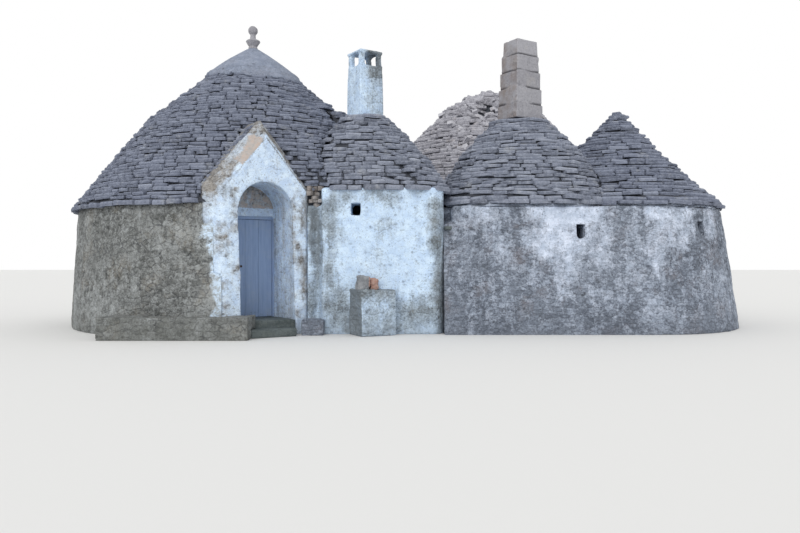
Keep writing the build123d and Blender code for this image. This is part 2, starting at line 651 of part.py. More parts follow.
SPOUT_FOOT, SPOUT_THICK = 2100, 60
with BuildPart() as spout:
    with BuildSketch(Plane.XY.offset(SPOUT_FOOT)):
        with Locations((4520, -3120)):
            Rectangle(130, 420)
    extrude(amount=SPOUT_THICK)
    add(mass, mode=Mode.SUBTRACT)
    add(white_block.part, mode=Mode.SUBTRACT)
keep(spout.part, "spout_stone")
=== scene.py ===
import math
import random

import bmesh
import bpy
from mathutils import Matrix, Vector, noise
from mathutils.bvhtree import BVHTree


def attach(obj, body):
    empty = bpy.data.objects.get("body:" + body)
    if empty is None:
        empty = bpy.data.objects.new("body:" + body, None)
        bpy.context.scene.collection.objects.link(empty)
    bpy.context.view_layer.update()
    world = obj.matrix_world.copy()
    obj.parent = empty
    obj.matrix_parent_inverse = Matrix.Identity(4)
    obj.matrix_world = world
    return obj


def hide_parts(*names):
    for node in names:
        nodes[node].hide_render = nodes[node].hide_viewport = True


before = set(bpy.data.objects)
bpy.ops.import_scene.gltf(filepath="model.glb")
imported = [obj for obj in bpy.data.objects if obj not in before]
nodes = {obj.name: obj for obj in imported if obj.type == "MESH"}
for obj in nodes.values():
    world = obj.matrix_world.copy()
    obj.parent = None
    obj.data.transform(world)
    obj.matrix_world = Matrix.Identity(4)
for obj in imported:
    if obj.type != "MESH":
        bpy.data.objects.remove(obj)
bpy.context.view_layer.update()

# Plan of the house, in metres, as the model has it
MAIN = Vector((0, 0, 0))
HEARTH = Vector((2.79, -1.6, 0))
RUIN = Vector((6.1, 3.0, 0))
KITCHEN = Vector((6.28, -1.2, 0))
END = Vector((8.75, -0.25, 0))
PORCH = Vector((0.92, -3.5, 0))
PORCH_TURN = math.radians(33)
RIGHT = Vector((math.cos(PORCH_TURN), math.sin(PORCH_TURN), 0))
INWARD = Vector((-math.sin(PORCH_TURN), math.cos(PORCH_TURN), 0))
ACROSS, AWAY, UP = Vector((1, 0, 0)), Vector((0, 1, 0)), Vector((0, 0, 1))
# Level of the wall tops, where the cones sit
SEAT = 2.6

# The photograph's view: level, with the horizon a little above the middle row
CAMERA = Vector((3.56, -18.2, 1.45))
IMAGE = (800, 533)
FOCAL_PIXELS = 750
HORIZON_ROW = 262

camera_data = bpy.data.cameras.new("camera")
camera_data.sensor_width = 36
camera_data.lens = FOCAL_PIXELS / IMAGE[0] * camera_data.sensor_width
camera = bpy.data.objects.new("camera", camera_data)
camera.location = CAMERA
camera.rotation_euler = (math.pi / 2 - math.atan((IMAGE[1] / 2 - HORIZON_ROW) / FOCAL_PIXELS), 0, 0)
bpy.context.scene.collection.objects.link(camera)
bpy.context.scene.camera = camera


# Materials
def material(name, roughness):
    """A new node material; returns it with its tree and its principled shader."""
    made = bpy.data.materials.new(name)
    made.use_nodes = True
    tree = made.node_tree
    shader = tree.nodes["Principled BSDF"]
    shader.inputs["Roughness"].default_value = roughness
    shader.inputs["Specular IOR Level"].default_value = 0.25
    return made, tree, shader


def node(tree, kind, inputs=None, **settings):
    made = tree.nodes.new(kind)
    for key, value in settings.items():
        setattr(made, key, value)
    for key, value in (inputs or {}).items():
        if isinstance(value, bpy.types.NodeSocket):
            tree.links.new(value, made.inputs[key])
        else:
            made.inputs[key].default_value = value
    return made


def coordinates(tree, stretch=(1, 1, 1)):
    place = node(tree, "ShaderNodeTexCoord")
    mapping = node(tree, "ShaderNodeMapping", {"Vector": place.outputs["Object"], "Scale": stretch})
    return mapping.outputs["Vector"]


def mottle(tree, where, scale, detail=5, rough=0.6):
    return node(tree, "ShaderNodeTexNoise", {"Vector": where, "Scale": scale, "Detail": detail,
                                             "Roughness": rough}).outputs["Fac"]


def band(tree, value, low, high, start=0.0, end=1.0):
    """Value stretched from low..high to start..end, clamped."""
    return node(tree, "ShaderNodeMapRange", {"Value": value, "From Min": low, "From Max": high,
                                             "To Min": start, "To Max": end}).outputs["Result"]


def swing(tree, value, amount):
    """Noise about its middle, as less or more by an amount."""
    return band(tree, value, 0.35, 0.65, -amount, amount)


def combine(tree, kind, a, b):
    return node(tree, "ShaderNodeMath", {0: a, 1: b}, operation=kind).outputs[0]


def added(tree, total, *others):
    for other in others:
        total = combine(tree, "ADD", total, other)
    return total


def blended(tree, share, under, over):
    """Colour under, with colour over laid on it by share."""
    mix = node(tree, "ShaderNodeMix", data_type="RGBA")
    for key, value in ((0, share), (6, under), (7, over)):
        if isinstance(value, bpy.types.NodeSocket):
            tree.links.new(value, mix.inputs[key])
        else:
            mix.inputs[key].default_value = value if key == 0 else (*value, 1)
    return mix.outputs[2]


def laid_over(tree, base, colour, value, low, high, share):
    """Base with a colour over it, from none where value is low to a share where it is high."""
    return blended(tree, band(tree, value, low, high, 0, share), base, colour)


def attribute(tree, name):
    return node(tree, "ShaderNodeAttribute", attribute_name=name).outputs["Fac"]


def height_of(tree):
    place = node(tree, "ShaderNodeTexCoord")
    return node(tree, "ShaderNodeSeparateXYZ", {"Vector": place.outputs["Object"]}).outputs["Z"]


def bumped(tree, shader, value, strength, distance):
    bump = node(tree, "ShaderNodeBump", {"Height": value, "Strength": strength, "Distance": distance})
    tree.links.new(bump.outputs["Normal"], shader.inputs["Normal"])


def cells(tree, where, wide, tall):
    """Irregular stones of a width and a height: each stone's own number, and the way from its joints."""
    nudge = node(tree, "ShaderNodeTexNoise", {"Vector": where, "Scale": 6.0, "Detail": 4}).outputs["Color"]
    bent = node(tree, "ShaderNodeVectorMath", {0: nudge, 1: (0.12, 0.12, 0.07), 2: where},
                operation="MULTIPLY_ADD")
    place = node(tree, "ShaderNodeMapping", {"Vector": bent.outputs["Vector"],
                                             "Scale": (1 / wide, 1 / wide, 1 / tall)}).outputs["Vector"]
    stones = node(tree, "ShaderNodeTexVoronoi", {"Vector": place, "Scale": 1.0}, feature="F1")
    edges = node(tree, "ShaderNodeTexVoronoi", {"Vector": place, "Scale": 1.0}, feature="DISTANCE_TO_EDGE")
    own = node(tree, "ShaderNodeSeparateColor", {"Color": stones.outputs["Color"]}).outputs["Red"]
    return own, edges.outputs["Distance"]


BROWN_FACE = (0.20, 0.15, 0.12)
DARK_JOINT = (0.03, 0.03, 0.035)
MORTAR_JOINT = (0.045, 0.048, 0.055)
# Near black for the pits in a wall: painted shade
PIT_SHADE = (0.05, 0.052, 0.06)


def slab_material(name, dark, middle, light, lichen, steady=0.0):
    """Weathered limestone, each stone with a tone of its own. Attributes darken joints and brown a face."""
    made, tree, shader = material(name, 0.92)
    where = coordinates(tree)
    tone = combine(tree, "ADD", attribute(tree, "tone"), steady)
    base = blended(tree, band(tree, tone, 0, 0.5), dark, middle)
    base = laid_over(tree, base, light, tone, 0.5, 1, 0.8)
    base = laid_over(tree, base, light, mottle(tree, where, 14, 7, 0.75), 0.44, 0.68, 0.7)
    base = laid_over(tree, base, lichen, mottle(tree, where, 2.7, 8, 0.75), 0.56, 0.68, 0.5)
    base = laid_over(tree, base, dark, mottle(tree, where, 31, 5, 0.7), 0.53, 0.68, 0.65)
    brownish = band(tree, mottle(tree, where, 4), 0.35, 0.65)
    base = blended(tree, combine(tree, "MULTIPLY", attribute(tree, "bare"), brownish), base, BROWN_FACE)
    base = blended(tree, attribute(tree, "damp_and_shade"), base, DARK_JOINT)
    tree.links.new(base, shader.inputs["Base Color"])
    bumped(tree, shader, mottle(tree, where, 24, 8, 0.75), 0.8, 0.02)
    return made


def wall_material(name, stones, washes, damp_and_shade, size=(0.15, 0.085), joints=0.45, bare=(0.47, 0.37, 0.31),
                  warm=(0.30, 0.275, 0.29)):
    """Rubble under what is left of its limewash.

    stones are dark, middle and pale, washes the limewash where it is thin and thick, damp_and_shade the
    colour of damp and of painted shadow lines. Attributes say where the wash, the damp and painted shade and
    the bare coat are.
    """
    dark, middle, pale = stones
    made, tree, shader = material(name, 0.93)
    where = coordinates(tree)
    streaks = coordinates(tree, (1, 1, 0.16))
    own, edge = cells(tree, where, *size)
    speckle = mottle(tree, where, 11, 8, 0.8)
    grit = mottle(tree, where, 27, 6, 0.8)
    soft = mottle(tree, where, 2.4, 9, 0.78)
    cloud = mottle(tree, where, 0.8, 5, 0.65)
    holes = node(tree, "ShaderNodeTexVoronoi", {"Vector": where, "Scale": 8.5}, feature="F1")
    pitted = band(tree, mottle(tree, where, 5.5, 6, 0.75), 0.47, 0.6)
    pit = combine(tree, "MULTIPLY", band(tree, holes.outputs["Distance"], 0.12, 0.34, 0.75, 0), pitted)
    shown = band(tree, mottle(tree, where, 3.5, 6, 0.7), 0.45, 0.62)
    joint = combine(tree, "MULTIPLY", band(tree, edge, 0.0, 0.1, joints, 0), shown)
    base = blended(tree, band(tree, own, 0, 1, 0.1, 0.95), dark, middle)
    base = laid_over(tree, base, pale, cloud, 0.42, 0.62, 0.4)
    base = laid_over(tree, base, dark, cloud, 0.42, 0.36, 0.35)
    base = laid_over(tree, base, warm, mottle(tree, where, 1.7, 6, 0.7), 0.52, 0.64, 0.45)
    base = laid_over(tree, base, pale, speckle, 0.45, 0.6, 0.75)
    base = laid_over(tree, base, dark, grit, 0.5, 0.62, 0.75)
    base = blended(tree, joint, base, MORTAR_JOINT)

    # The limewash that is left
    left = added(tree, combine(tree, "SUBTRACT", attribute(tree, "wash"), 0.5), soft,
                 swing(tree, speckle, 0.14), swing(tree, grit, -0.12), band(tree, own, 0, 1, -0.1, 0.1),
                 swing(tree, mottle(tree, streaks, 6, 6, 0.7), 0.16))
    lime = blended(tree, band(tree, mottle(tree, where, 5, 8, 0.75), 0.4, 0.64), washes[0], washes[1])
    lime = laid_over(tree, lime, pale, speckle, 0.54, 0.68, 0.5)
    lime = laid_over(tree, lime, dark, grit, 0.57, 0.65, 0.8)
    lime = blended(tree, combine(tree, "MULTIPLY", joint, 0.3), lime, dark)
    covered = band(tree, left, 0.24, 0.94)
    base = blended(tree, covered, base, lime)
    # Painted shade in the open pits: near black, less where the wash covers them
    shaded_pit = combine(tree, "MULTIPLY", pit, band(tree, covered, 0, 1, 1, 0.45))
    base = blended(tree, shaded_pit, base, PIT_SHADE)

    # The bare coat; damp in streaks and near the ground, and painted shadow lines where the marks put them
    ragged = band(tree, mottle(tree, where, 7, 8, 0.8), 0.3, 0.7, -0.4, 0.4)
    gone = combine(tree, "ADD", attribute(tree, "bare"), ragged)
    coat = blended(tree, band(tree, speckle, 0.4, 0.6), bare, pale)
    base = blended(tree, band(tree, gone, 0.4, 0.6), base, coat)
    wet_and_shaded = added(tree, attribute(tree, "damp_and_shade"), mottle(tree, streaks, 3.4, 8, 0.75),
                swing(tree, speckle, 0.28), swing(tree, grit, 0.14))
    base = laid_over(tree, base, damp_and_shade, wet_and_shaded, 0.66, 1.08, 0.85)
    low = combine(tree, "ADD", height_of(tree), mottle(tree, where, 1.6, 7, 0.8))
    base = blended(tree, band(tree, low, 0.4, 1.1, 0.45, 0), base, damp_and_shade)
    tree.links.new(base, shader.inputs["Base Color"])
    rise = combine(tree, "MULTIPLY", band(tree, edge, 0.0, 0.12), band(tree, covered, 0, 1, 0.6, 0.2))
    rise = combine(tree, "ADD", rise, speckle)
    rise = combine(tree, "SUBTRACT", rise, combine(tree, "MULTIPLY", grit, 0.5))
    rise = combine(tree, "SUBTRACT", rise, pit)
    bumped(tree, shader, rise, 0.9, 0.022)
    return made


slabs = slab_material("roof_slabs", (0.078, 0.087, 0.114), (0.155, 0.174, 0.232), (0.32, 0.352, 0.435),
                      (0.40, 0.415, 0.44))
pale_slabs = slab_material("pale_slabs", (0.092, 0.102, 0.132), (0.19, 0.211, 0.27), (0.39, 0.42, 0.495),
                           (0.44, 0.455, 0.475))
ruin_slabs = slab_material("ruin_slabs", (0.17, 0.167, 0.188), (0.34, 0.337, 0.375), (0.61, 0.61, 0.65),
                           (0.49, 0.435, 0.405))
# A darker copy of the slab stone: painted shade for the roof cores that show between the slabs
shaded_bed_stone = slab_material("shaded_bed_stone", (0.045, 0.049, 0.06), (0.07, 0.076, 0.094), (0.10, 0.107, 0.13),
                         (0.09, 0.094, 0.105))
bay_slabs = slab_material("bay_stones", (0.12, 0.10, 0.088), (0.22, 0.195, 0.18), (0.45, 0.44, 0.44),
                          (0.50, 0.47, 0.45))
ashlar = slab_material("ashlar", (0.15, 0.145, 0.155), (0.255, 0.25, 0.275), (0.42, 0.42, 0.45),
                       (0.44, 0.42, 0.40), steady=0.2)
dressed = slab_material("dressed_stone", (0.09, 0.10, 0.11), (0.17, 0.18, 0.195), (0.34, 0.35, 0.37),
                        (0.38, 0.38, 0.38), steady=0.2)
sill_stone = slab_material("sill_stone", (0.04, 0.05, 0.05), (0.075, 0.092, 0.094), (0.17, 0.195, 0.195),
                           (0.15, 0.17, 0.145), steady=0.2)

# Stones of a wall: dark, middle and pale
RUBBLE = ((0.085, 0.099, 0.126), (0.165, 0.19, 0.238), (0.30, 0.34, 0.41))
EARTHY = ((0.068, 0.071, 0.068), (0.16, 0.167, 0.163), (0.33, 0.345, 0.345))
SMOKY = ((0.10, 0.115, 0.125), (0.21, 0.24, 0.265), (0.36, 0.41, 0.45))
DUSTY = ((0.10, 0.095, 0.09), (0.25, 0.24, 0.225), (0.42, 0.41, 0.40))
MORTAR = ((0.15, 0.17, 0.215), (0.22, 0.25, 0.32), (0.31, 0.34, 0.42))
grey_rubble = wall_material("grey_rubble", RUBBLE, ((0.46, 0.53, 0.65), (0.76, 0.83, 0.97)),
                            (0.12, 0.135, 0.165), warm=(0.25, 0.225, 0.235))
left_rubble = wall_material("left_rubble", EARTHY, ((0.33, 0.345, 0.345), (0.48, 0.51, 0.52)),
                            (0.13, 0.135, 0.125), size=(0.17, 0.115), joints=0.8, bare=(0.66, 0.81, 0.98),
                            warm=(0.29, 0.26, 0.21))
plaster = wall_material("limewash", SMOKY, ((0.54, 0.69, 0.89), (0.70, 0.85, 1.0)), (0.17, 0.195, 0.215),
                        size=(0.24, 0.15), warm=(0.26, 0.26, 0.24))
porch_plaster = wall_material("porch_limewash", DUSTY, ((0.56, 0.70, 0.90), (0.74, 0.87, 1.0)),
                              (0.20, 0.20, 0.20), size=(0.2, 0.12), bare=(0.50, 0.41, 0.36),
                              warm=(0.42, 0.38, 0.33))
cap_plaster = wall_material("cap_plaster", MORTAR, ((0.22, 0.255, 0.335), (0.32, 0.36, 0.45)),
                            (0.12, 0.14, 0.18), joints=0.2)


def door_paint():
    """Faded blue-grey paint, grain along the boards, scraped and dirty near the foot."""
    made, tree, shader = material("door_paint", 0.62)
    grain = coordinates(tree, (9, 9, 0.5))
    where = coordinates(tree)
    deep, faded, dusty, dirt, pale = ((0.23, 0.32, 0.50), (0.31, 0.41, 0.60), (0.38, 0.44, 0.53),
                                      (0.08, 0.09, 0.095), (0.42, 0.48, 0.57))
    base = blended(tree, band(tree, mottle(tree, grain, 4, 8, 0.7), 0.35, 0.7), deep, faded)
    base = laid_over(tree, base, dusty, mottle(tree, where, 3, 6, 0.7), 0.5, 0.7, 0.35)
    near_foot = band(tree, height_of(tree), 0.3, 0.8, 0.62, 0.3)
    scrape = combine(tree, "ADD", mottle(tree, where, 24, 7, 0.75), near_foot)
    base = laid_over(tree, base, dirt, scrape, 1.12, 1.3, 0.9)
    base = laid_over(tree, base, pale, mottle(tree, grain, 11, 6, 0.7), 0.62, 0.74, 0.5)
    tree.links.new(base, shader.inputs["Base Color"])
    bumped(tree, shader, mottle(tree, grain, 6, 8, 0.7), 0.5, 0.004)
    return made


def plain_mottled(name, one, two, scale, roughness, metallic=0.0):
    made, tree, shader = material(name, roughness)
    shader.inputs["Metallic"].default_value = metallic
    where = coordinates(tree)
    spread = mottle(tree, where, scale, 7, 0.7)
    tree.links.new(blended(tree, band(tree, spread, 0.38, 0.66), one, two), shader.inputs["Base Color"])
    bumped(tree, shader, mottle(tree, where, scale * 4), 0.5, 0.004)
    return made


paint = door_paint()
iron = plain_mottled("rusty_iron", (0.05, 0.045, 0.045), (0.14, 0.08, 0.05), 40, 0.8, 0.4)
brick = plain_mottled("red_brick", (0.36, 0.20, 0.16), (0.42, 0.31, 0.27), 18, 0.9)


# The right end is shorter than its solids: beyond the last cone's axis, pieces keep this share of their reach
DRAWN_IN = 0.85
DRAWN_NODES = ("end_cone", "grey_front_wall_right", "grey_side_wall", "grey_rear_wall")


def drawn_in(point):
    return Vector((min(point.x, END.x + (point.x - END.x) * DRAWN_IN), point.y, point.z))


# Mesh helpers
def joined(names):
    """The shapes of some CAD nodes in one new mesh."""
    gathered = bmesh.new()
    for name in names:
        part = nodes[name].data.copy()
        if name in DRAWN_NODES:
            for vertex in part.vertices:
                vertex.co = drawn_in(vertex.co)
        gathered.from_mesh(part)
        bpy.data.meshes.remove(part)
    mesh = bpy.data.meshes.new("joined")
    gathered.to_mesh(mesh)
    gathered.free()
    return mesh


def tree_of(names):
    """One search tree over CAD nodes."""
    mesh = joined(names)
    points = [vertex.co.copy() for vertex in mesh.vertices]
    faces = [tuple(face.vertices) for face in mesh.polygons]
    bpy.data.meshes.remove(mesh)
    return BVHTree.FromPolygons(points, faces)


def cut_through(hole):
    """A box with uneven corners. A hole is its middle on the face, the way in, width, height and depth."""
    middle, way, width, height, within = hole
    aside = way.cross(UP)
    before_face = 0.3
    rng = random.Random(middle.x)
    corners = []
    for depth in (-before_face, within):
        for side, rise in ((-1, -1), (1, -1), (1, 1), (-1, 1)):
            jog = rng.uniform(-0.008, 0.008)
            across, up = side * width / 2 + jog, rise * height / 2 + jog
            corners.append(middle + way * depth + aside * across + UP * up)
    faces = [(3, 2, 1, 0), (4, 5, 6, 7)] + [(i, (i + 1) % 4, (i + 1) % 4 + 4, i + 4) for i in range(4)]
    mesh = bpy.data.meshes.new("hole")
    mesh.from_pydata(corners, [], faces)
    tidy = bmesh.new()
    tidy.from_mesh(mesh)
    bmesh.ops.recalc_face_normals(tidy, faces=tidy.faces)
    tidy.to_mesh(mesh)
    tidy.free()
    cutter = bpy.data.objects.new("hole", mesh)
    bpy.context.scene.collection.objects.link(cutter)
    return cutter


def remeshed(names, voxel, soften=0, holes=()):
    """CAD nodes joined and remeshed to a grid, smoothed, with holes cut out."""
    block = bpy.data.objects.new("block", joined(names))
    bpy.context.scene.collection.objects.link(block)
    remesh = block.modifiers.new("remesh", "REMESH")
    remesh.mode = "VOXEL"
    remesh.voxel_size = voxel
    if soften:
        soft = block.modifiers.new("soften", "SMOOTH")
        soft.iterations = soften
    cutters = [cut_through(hole) for hole in holes]
    for cutter in cutters:
        cut = block.modifiers.new("hole", "BOOLEAN")
        cut.operation = "DIFFERENCE"
        cut.solver = "EXACT"
        cut.object = cutter
    graph = bpy.context.evaluated_depsgraph_get()
    mesh = bpy.data.meshes.new_from_object(block.evaluated_get(graph))
    for spent in (block, *cutters):
        bpy.data.objects.remove(spent)
    return mesh


def new_piece(name, mesh, surface, body="house"):
    piece = bpy.data.objects.new(name, mesh)
    bpy.context.scene.collection.objects.link(piece)
    mesh.materials.clear()
    mesh.materials.append(surface)
    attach(piece, body)
    return piece


def paint_points(mesh, name, values):
    layer = mesh.attributes.new(name, "FLOAT", "POINT")
    layer.data.foreach_set("value", values)


def smooth(value, low, high):
    share = min(1.0, max(0.0, (value - low) / (high - low)))
    return share * share * (3 - 2 * share)


def porch_x(point):
    return (point - PORCH).dot(RIGHT)


def porch_y(point):
    return (point - PORCH).dot(INWARD)


def patches(point, spots):
    """The most that any patch gives here. A patch is a middle, its reach each way and its amount."""
    x = point.x + 0.16 * noise.noise(point * 1.9) + 0.07 * noise.noise(point * 5.1)
    z = point.z + 0.16 * noise.noise(point * 1.7 + UP * 9) + 0.09 * noise.noise(point * 4.7 + UP * 5)
    most = 0.0
    for middle_x, middle_z, wide, tall, amount in spots:
        away = math.hypot((x - middle_x) / wide, (z - middle_z) / tall)
        most = max(most, amount * (1 - smooth(away, 0.3, 1.2)))
    return most


# Roof slabs. Outlines are seen from above, the nose at y 0.5. A ring is a level and its width and depth.
SLAB_OUTLINES = (
    ((-0.5, -0.5), (-0.5, 0.3), (-0.44, 0.5), (0.05, 0.46), (0.45, 0.5), (0.5, 0.26), (0.5, -0.5)),
    ((-0.5, -0.5), (-0.49, 0.42), (-0.3, 0.5), (0.2, 0.5), (0.42, 0.4), (0.5, 0.12), (0.5, -0.5)),
    ((-0.5, -0.5), (-0.5, 0.1), (-0.42, 0.42), (-0.1, 0.5), (0.3, 0.44), (0.49, 0.44), (0.5, -0.5)),
)
RINGS = ((-0.5, 0.98, 0.96), (0.1, 1.0, 1.0), (0.5, 0.95, 0.85))
ROCK_OUTLINE = ((-0.5, -0.3), (-0.36, 0.4), (0.05, 0.5), (0.45, 0.3), (0.5, -0.25), (0.0, -0.5))
SLAB_ROUGHNESS, ROCK_ROUGHNESS = 0.014, 0.02
UPRIGHT_SHARE = 0.45
NOSE_DIP, TILT, ROCK_TILT = 0.07, 0.05, 0.4


class Stones:
    """Many rough slabs gathered into one mesh."""

    def __init__(self, seed):
        self.rng = random.Random(seed)
        self.points = []
        self.faces = []
        self.tones = []

    def stone(self, centre, spin, outline, size, rough, tone):
        """One stone: an outline in its x and y, on rings up its z."""
        rng = self.rng
        first = len(self.points)
        nudges = [(rng.uniform(-rough, rough), rng.uniform(-rough, rough)) for _ in outline]
        for level, wide, deep in RINGS:
            for (x, y), (dx, dy) in zip(outline, nudges):
                corner = Vector((x * size[0] * wide + dx, y * size[1] * deep + dy,
                                 level * size[2] + rng.uniform(-rough, rough) * UPRIGHT_SHARE))
                self.points.append(centre + spin @ corner)
        count = len(outline)
        for ring in range(len(RINGS) - 1):
            for i in range(count):
                a = first + ring * count + i
                b = first + ring * count + (i + 1) % count
                self.faces.append((b, a, a + count, b + count))
        self.faces.append(tuple(first + i for i in range(count)))
        last = first + (len(RINGS) - 1) * count
        self.faces.append(tuple(last + i for i in reversed(range(count))))
        self.tones.extend([tone] * (count * len(RINGS)))

    def slab(self, centre, out, length, depth, height):
        """A flat stone whose nose dips a little outwards."""
        rng = self.rng
        along = UP.cross(out).normalized()
        dip = Matrix.Rotation(rng.gauss(NOSE_DIP, TILT), 3, along)
        roll = Matrix.Rotation(rng.gauss(0, TILT * 0.7), 3, out)
        spin = dip @ roll @ Matrix((along, out, UP)).transposed()
        tone = min(1.0, max(0.0, rng.gauss(0.5, 0.16)))
        self.stone(centre, spin, rng.choice(SLAB_OUTLINES), (length, depth, height), SLAB_ROUGHNESS, tone)

    def rock(self, centre, size):
        rng = self.rng
        turn = Matrix.Rotation(rng.uniform(0, math.tau), 3, "Z")
        pitch = Matrix.Rotation(rng.gauss(0, ROCK_TILT), 3, "X")
        roll = Matrix.Rotation(rng.gauss(0, ROCK_TILT), 3, "Y")
        self.stone(centre, turn @ pitch @ roll, ROCK_OUTLINE, size, ROCK_ROUGHNESS, rng.betavariate(2, 1.6))

    def piece(self, name, surface):
        mesh = bpy.data.meshes.new(name)
        mesh.from_pydata(self.points, [], self.faces)
        paint_points(mesh, "tone", self.tones)
        return new_piece(name, mesh, surface)


ROOFS = ("main_cone", "main_cap", "hearth_cone", "kitchen_cone", "ruined_cone", "end_cone", "saddle",
         "porch_vault", "porch_gable", "white_chimney", "stone_chimney")
# Level rays are sent in towards an axis from outside the whole house, and stop just short of it
RAY_START, RAY_REACH = 7, 6.95
# A slab needs a face that is this much turned to its ray, and room along a ray that starts off it and rises
LEAST_FACING, LEAST_FLAT = 0.3, 0.05
SIGHT_OFF, SIGHT_RISE, SIGHT_REACH = 0.05, 0.7, 6


class Roof:
    """Where the slabs of one roof may lie: on its own solids, where no other roof stands over them."""

    def __init__(self, own, centre, kept_clear=None):
        self.tree = tree_of(own)
        self.others = tree_of([name for name in ROOFS if name not in own])
        self.centre = centre
        self.kept_clear = kept_clear

    def seen(self, spot, flat):
        """Whether a spot is outside every other roof: a ray that starts inside one meets its back first."""
        way = (flat + UP * SIGHT_RISE).normalized()
        hit, normal, _, _ = self.others.ray_cast(spot + flat * SIGHT_OFF + UP * SIGHT_OFF, way, SIGHT_REACH)
        return hit is None or normal.dot(way) < 0

    def meet(self, start, way, reach):
        """Where a level ray meets the roof from outside, if slabs may lie there."""
        spot, normal, _, _ = self.tree.ray_cast(start, way, reach)
        if spot is None or (self.kept_clear and self.kept_clear(spot)):
            return None
        flat = Vector((normal.x, normal.y, 0))
        if flat.length > LEAST_FLAT and flat.normalized().dot(-way) < LEAST_FACING:
            return None
        return spot if self.seen(spot, -way) else None

    def round_about(self, angle, level):
        out = Vector((math.cos(angle), math.sin(angle), 0))
        start = Vector((self.centre.x, self.centre.y, level)) + out * RAY_START
        return self.meet(start, -out, RAY_REACH)


def courses(rng, low, high, heights):
    level = low
    while level < high:
        height = rng.uniform(*heights)
        yield level, height
        level += height


def waved(angle, level):
    """How far a course has settled up or down from its level."""
    return 0.045 * noise.noise(Vector((2.2 * math.cos(angle), 2.2 * math.sin(angle), level * 0.9)))


# From a slab's nose inwards, on a cone and on a slope
CONE_SLAB_DEPTH, SLOPE_SLAB_DEPTH = 0.34, 0.26
# Near a tip a slab is at most a share of the radius long, and at an edge it is cut to no less than this
LEAST_RADIUS, LONGEST_SHARE, SHORTEST, CUT_SHARE = 0.25, 0.9, 0.12, 0.7
# Angles passed over where no slab may start or face, and the share of its place that a slab fills
NO_START, NO_FACE, FILLED = 0.03, 0.04, 0.99
SLOPE_REACH = 4.0
# Least and most, for eaves and for other slabs: how far out the nose is, thickness by the course, and lift
EAVE_LENGTHS, EAVE_OUT, EAVE_THICK, EAVE_LIFT = (0.3, 0.62), (0.05, 0.1), (1.05, 1.25), (-0.035, -0.01)
SLAB_BACK, SLAB_THICK, SLAB_LIFT = -0.01, (0.72, 0.95), (-0.008, 0.008)


def lay_round(stones, roof, low, high, heights=(0.066, 0.092), lengths=(0.16, 0.55), eaves=1, proud=0.04,
              miss=None):
    """Slabs in courses round an upright axis, the first courses thick eaves. miss is the chance of a gap."""
    rng = stones.rng
    for row, (level, height) in enumerate(courses(rng, low, high, heights)):
        eave = row < eaves
        middle = level + height / 2
        angle = rng.uniform(0, 0.4)
        finish = angle + math.tau
        set_out = rng.uniform(0.0, 0.02)
        while angle < finish:
            length = rng.uniform(*EAVE_LENGTHS) if eave else rng.triangular(*lengths, lengths[0] * 1.6)
            found = roof.round_about(angle, middle)
            if found is None:
                angle += NO_START
                continue
            away = max(LEAST_RADIUS, (found - roof.centre).to_2d().length)
            length = min(length, away * LONGEST_SHARE)
            step = length / away
            while length > SHORTEST and roof.round_about(angle + step, middle) is None:
                length, step = length * CUT_SHARE, step * CUT_SHARE
            facing = angle + step / 2
            settled = 0.0 if eave else waved(facing, middle)
            found = roof.round_about(facing, middle + settled)
            if found is None:
                angle += NO_FACE
                continue
            angle += step
            if miss and rng.random() < miss(found):
                continue
            flat = Vector((math.cos(facing), math.sin(facing), 0))
            out = rng.uniform(*EAVE_OUT) if eave else set_out + rng.uniform(SLAB_BACK, proud)
            thick = height * rng.uniform(*(EAVE_THICK if eave else SLAB_THICK))
            lift = Vector((0, 0, rng.uniform(*(EAVE_LIFT if eave else SLAB_LIFT))))
            centre = found + flat * (out - CONE_SLAB_DEPTH / 2) + lift
            stones.slab(centre, flat, length * FILLED, CONE_SLAB_DEPTH, thick)


def lay_slope(stones, roof, start, along, way, run, low, high, lengths=(0.16, 0.42)):
    """Slabs in level courses along a straight slope or face, met by rays sent one way."""
    rng = stones.rng
    for level, height in courses(rng, low, high, (0.075, 0.1)):
        place = rng.uniform(0, 0.2)
        while place < run:
            length = rng.uniform(*lengths)
            before = start + along * (place + length / 2) + UP * (level + height / 2)
            found = roof.meet(before, way, SLOPE_REACH)
            place += length
            if found is None:
                continue
            out = rng.uniform(0.01, 0.045)
            centre = found - way * (out - SLOPE_SLAB_DEPTH / 2)
            stones.slab(centre, -way, length, SLOPE_SLAB_DEPTH, height * rng.uniform(0.85, 1.0))


# The face over the bay beside the porch, where rubble shows under the eaves
BAY_LEFT, BAY_RIGHT, BAY_TOP = 1.62, 1.98, 2.93


def beside_porch(spot):
    """Whether a spot is over the bay, or in front of the porch's splayed side."""
    over_bay = BAY_LEFT < spot.x < BAY_RIGHT and spot.y < -2.6 and spot.z < BAY_TOP
    over_splay = -1.25 < porch_x(spot) < -0.6 and porch_y(spot) < 0.35 and spot.z < 3.1
    return over_bay or over_splay


main_stones = Stones(11)
main_roof = Roof(("main_cone", "saddle"), MAIN, beside_porch)
lay_round(main_stones, main_roof, SEAT, 5.88)
main_stones.piece("main_cone_slabs", slabs)

bay_stones = Stones(17)
lay_slope(bay_stones, Roof(("main_cone",), MAIN), Vector((BAY_LEFT, -6, 0)), ACROSS, AWAY,
          BAY_RIGHT - BAY_LEFT, SEAT - 0.03, BAY_TOP - 0.02, lengths=(0.08, 0.18))
bay_stones.piece("bay_head_stones", bay_slabs)

porch_stones = Stones(16)
porch_roof = Roof(("porch_vault",), PORCH)
for side in (-1, 1):
    beside = PORCH + RIGHT * side * 3 + INWARD * 0.3
    lay_slope(porch_stones, porch_roof, beside, INWARD, RIGHT * -side, 3.0, 2.7, 4.15)
porch_stones.piece("porch_roof_slabs", slabs)

